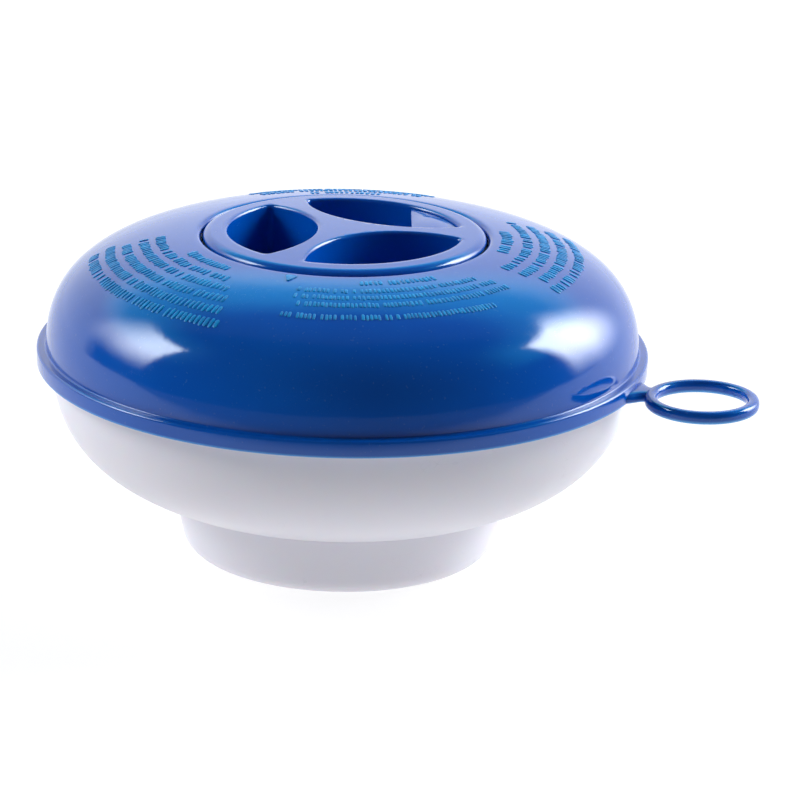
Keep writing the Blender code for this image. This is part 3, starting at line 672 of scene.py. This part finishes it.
def pocket(offset, middle):
    """Outline of a finger pocket, every side moved out by the offset: an arc about the cap's axis, an
    arc about a centre near the rim that bulges towards the axis, and rounded tips between them."""
    far, near = POCKET_ARC - POCKET_TIP, POCKET_BACK - POCKET_TIP
    x = (far**2 - near**2 + POCKET_CENTRE**2) / (2 * POCKET_CENTRE)
    y = np.sqrt(far**2 - x**2)
    out, back = np.arctan2(y, x), np.arctan2(y, x - POCKET_CENTRE)
    tip = POCKET_TIP + offset
    parts = ((0, 0, POCKET_ARC + offset, -out, out, 48, 0), (x, y, tip, out, back, 12, 1),
             (POCKET_CENTRE, 0, POCKET_BACK + offset, back, TAU - back, 56, 0),
             (x, -y, tip, TAU - back, TAU - out, 12, 1))
    made = []
    for cx, cy, radius, start, end, count, inner in parts:
        a = np.linspace(start, end, count + 1)
        a = a[1:-1] if inner else a
        made.append(np.stack([cx + radius * np.cos(a), cy + radius * np.sin(a)], -1))
    return turn_by(level(np.concatenate(made), 0), middle)[:, :2]


def pocket_cutter(middle):
    """The space of one pocket: its outline at each height, flared by a rounded edge that follows the
    domed top, drawn in by a slight draft down the wall, and rounded again at the floor."""
    a = np.linspace(0, np.pi / 2, 7)
    edge, foot, draft, proud = 1.25, 1.6, 0.35, 0.06
    rings = [level(pocket(edge, middle), CAP_TOP + 1.0)]
    for offset, rise in zip(edge - edge * np.sin(a), edge * np.cos(a) - edge + proud):
        ring = pocket(offset, middle)
        rings.append(np.column_stack([ring, crown(np.hypot(*ring.T)) + rise]))
    for offset, rise in zip(foot * np.cos(a) - foot - draft, foot - foot * np.sin(a)):
        rings.append(level(pocket(offset, middle), POCKET_FLOOR + rise))
    return loft("pocket", rings, CAP_BLUE)


def cap_moulding():
    """Blue cap: a flanged plug with a full rounded rim, three finger pockets, a hollow underside round
    the pockets, three quick-thread lugs, and the window for the tab's catch."""
    a = np.linspace(0, np.pi / 2, 13)
    wide, low = 3.4, CAP_LOW + 0.7
    rim = np.stack([CAP_RIM - wide + wide * np.cos(a), low + (crown(CAP_RIM - wide) - low) * np.sin(a)], -1)
    r = np.linspace(CAP_RIM - wide, 0, 18)[1:]
    outline = fillet([(0, PLUG_LOW), (PLUG, PLUG_LOW, 0.5), (PLUG, CAP_LOW, 0.6), (CAP_RIM, CAP_LOW, 0.4),
                      *rim, *zip(r, crown(r))], 9)
    cap = revolve("cap_moulding", outline, CAP_BLUE, 192)
    inner, under, below = PLUG - PLUG_WALL, CAP_TOP - 3.6, PLUG_LOW - 2.0
    hollow = revolve("hollow", [(0, below), (inner, below), (inner, under), (0, under)], CAP_BLUE, 192)
    middles = [FIRST_ARM + (2 * k + 1) * np.pi / 3 for k in range(3)]
    for middle in middles:
        ring = pocket(PLUG_WALL, middle)
        carve(hollow, loft("cup", [level(ring, below - 1.0), level(ring, CAP_TOP)], CAP_BLUE))
    carve(cap, hollow)
    for middle in middles:
        carve(cap, pocket_cutter(middle))
    (x0, x1), (y0, y1), heights = CATCH_WINDOW
    box = [level([(x0, y0), (x1, y0), (x1, y1), (x0, y1)], CATCH_LOW + z) for z in heights]
    carve(cap, loft("catch_window", turn_by(np.array(box), FIRST_ARM), CAP_BLUE))
    lugs = [helix_bar(f"lug_{k}", 43.6, 41.6, 90.0, 2.4, 40 + 120 * k, 24, CAP_BLUE, 24) for k in range(3)]
    return merge("cap_moulding", [cap, *lugs])


def press_tab():
    """Blue lock tab: the end of the back pocket beyond a straight edge, as a plate with softened
    edges, and an L-shaped leg whose catch stands in the plug's window."""
    ring = pocket(-0.5, np.pi / 3)
    keep = ring[:, 0] >= TAB_EDGE
    first = np.flatnonzero(keep & ~np.roll(keep, 1))[0]
    ring = np.roll(ring, -first, 0)[:keep.sum()]
    edge = np.stack([np.full(12, TAB_EDGE), np.linspace(ring[-1, 1], ring[0, 1], 12)], -1)
    ring = np.concatenate([ring, edge])
    centre = ring.mean(0)
    thick, soft = 2.0, 0.45
    a = np.linspace(0, np.pi / 2, 6)
    steps = [(1 - np.cos(t), soft - thick - soft * np.sin(t)) for t in a[::-1]]
    steps += [(1 - np.cos(t), soft * np.sin(t) - soft) for t in a]
    reach = np.linalg.norm(ring - centre, axis=1, keepdims=True)
    rings = [level(centre + (ring - centre) * (1 - soft * inset / reach), TAB_TOP + z) for inset, z in steps]
    plate = loft("plate", turn_by(np.array(rings), FIRST_ARM), CAP_BLUE, 50)
    top = TAB_TOP - thick + 0.7
    side = fillet([(23.8, CATCH_LOW, 0.3), (35.0, CATCH_LOW, 0.3), (35.0, CATCH_LOW + 2.5, 0.3),
                   (29.8, CATCH_LOW + 2.5, 0.5), (29.8, top, 0), (23.8, top, 0)], 4)
    sides = [np.column_stack([np.full(len(side), x), side]) for x in (22.3, 24.3)]
    leg = loft("leg", turn_by(np.array(sides), FIRST_ARM), CAP_BLUE)
    return merge("press_tab", [plate, leg])


def return_spring():
    """Coil spring: a round wire section carried along a helix, with the end turns closed up."""
    u = np.linspace(0, 1, 241)
    turn = TAU * SPRING_TURNS * u
    low, high = POCKET_FLOOR + 0.75, TAB_TOP - 2.75
    rise = low + (high - low) * (u - 0.55 * np.sin(TAU * u) / TAU)
    a = np.arange(12) * TAU / 12
    r = SPRING_RADIUS + WIRE_HALF * np.cos(a)[None]
    rings = np.stack([SPRING_X + r * np.cos(turn)[:, None], SPRING_Y + r * np.sin(turn)[:, None],
                      rise[:, None] + WIRE_HALF * np.sin(a)[None]], -1)
    return loft("return_spring", turn_by(rings, FIRST_ARM), WIRE, 60)


def cap():
    """The cap with its ring, its lock tab and the spring, which on the real cap shortens as the tab goes
    down; here it stays at one length.
    """
    fit(cap_moulding(), "cap", "blue_gloss", "cap_body")
    fit(press_tab(), "tab", "blue_gloss", "lock_tab")
    spring = fit(return_spring(), "cap", "spring_steel", "lock_spring")
    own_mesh(spring)
    fit(torus("cap_ring", 45.75, 1.2, 105.0), "seal", "seal_rubber", "cap_seal")


# ------------------------------------------------------------------ studio

def pointing(azimuth, elevation):
    """A direction, with the camera's right as azimuth 0 and straight away from it as 90."""
    a, e = np.radians(azimuth) + VIEW_TURN, np.radians(elevation)
    return Vector((np.cos(a) * np.cos(e), np.sin(a) * np.cos(e), np.sin(e)))


def surroundings():
    """A studio in light, by direction: turn is the angle from straight behind the float, positive to
    the right, and rise is the angle above the horizon. A white backdrop stands behind, up to about 35
    degrees. A softbox on either side fades downwards and towards the backdrop. A blue gel glows above the
    backdrop, in reflections only. The rest is dim."""
    world = bpy.data.worlds.new("studio")
    bpy.context.scene.world = world
    world.use_nodes = True
    nodes, links = world.node_tree.nodes, world.node_tree.links
    direction = nodes.new("ShaderNodeTexCoord").outputs["Generated"]

    def along(azimuth, elevation):
        node = nodes.new("ShaderNodeVectorMath")
        node.operation = "DOT_PRODUCT"
        node.inputs[1].default_value = pointing(azimuth, elevation)
        links.new(direction, node.inputs[0])
        return node.outputs["Value"]

    def maths(operation, *values):
        node = nodes.new("ShaderNodeMath")
        node.operation = operation
        for value, socket in zip(values, node.inputs):
            if isinstance(value, (int, float)):
                socket.default_value = value
            else:
                links.new(value, socket)
        return node.outputs[0]

    def ramp(value, low, high, out_low=0.0, out_high=1.0):
        node = nodes.new("ShaderNodeMapRange")
        node.interpolation_type = "SMOOTHSTEP"
        links.new(value, node.inputs["Value"])
        span = (np.radians(low), np.radians(high), out_low, out_high)
        for key, number in zip(("From Min", "From Max", "To Min", "To Max"), span):
            node.inputs[key].default_value = number
        return node.outputs["Result"]

    turn = maths("ARCTAN2", along(0, 0), along(90, 0))
    rise = maths("ARCSINE", along(0, 90))

    def window(strength, *ramps):
        made = strength
        for one in ramps:
            made = maths("MULTIPLY", one, made)
        return made

    left = window(LEFT_POWER, ramp(turn, -99, -95), ramp(turn, -90, -50, 1, 0), ramp(rise, 8, 34),
                  ramp(rise, 43, 48, 1, 0))
    right = window(RIGHT_POWER, ramp(turn, 76, 84, 1, 0), ramp(turn, 34, 64), ramp(rise, -4, 30),
                   ramp(rise, 40, 45, 1, 0))
    backdrop = window(BACKDROP, ramp(turn, -72, -60), ramp(turn, 60, 72, 1, 0), ramp(rise, 28, 40, 1, 0.06))
    glossy = nodes.new("ShaderNodeLightPath").outputs["Is Glossy Ray"]
    sky = window(SKY, ramp(turn, -115, -85), ramp(turn, 85, 115, 1, 0), ramp(rise, 24, 36),
                 ramp(rise, 42, 60, 1, 0), glossy)
    total = maths("ADD", maths("ADD", left, right), maths("ADD", backdrop, DIM))

    def tinted(value, colour):
        node = nodes.new("ShaderNodeVectorMath")
        node.operation = "SCALE"
        node.inputs[0].default_value = colour
        links.new(value, node.inputs["Scale"])
        return node.outputs[0]

    both = nodes.new("ShaderNodeVectorMath")
    links.new(tinted(total, (0.95, 0.97, 1.0)), both.inputs[0])
    links.new(tinted(sky, (0.05, 0.72, 1.0)), both.inputs[1])
    links.new(both.outputs[0], nodes["Background"].inputs["Color"])


def studio():
    """The lights, a flat floor under the float, and a long lens that looks a little down at it."""
    surroundings()
    t = np.linspace(-FLOOR_HALF, FLOOR_HALF, 41)
    x, y = np.meshgrid(t, t, indexing="ij")
    points = np.stack([x, y, np.full_like(x, -FLOOR_DROP)], -1).reshape(-1, 3)
    place("studio_floor", points, [grid_faces(41, 41)], floor_paint())
    data = bpy.data.cameras.new("camera")
    data.sensor_width, data.lens = 36.0, CAMERA_LENS
    data.clip_start, data.clip_end = 0.05, 60
    camera = bpy.data.objects.new("camera", data)
    where = pointing(-90, 0) * CAMERA_BACK + Vector((0, 0, CAMERA_UP))
    aim = Euler((CAMERA_TILT, CAMERA_ROLL, CAMERA_YAW + VIEW_TURN))
    camera.matrix_world = Matrix.LocRotScale(where, aim, None)
    bpy.context.scene.collection.objects.link(camera)
    bpy.context.scene.camera = camera
    bpy.context.scene.view_settings.view_transform = "Standard"


hull()
base()
cap()
studio()
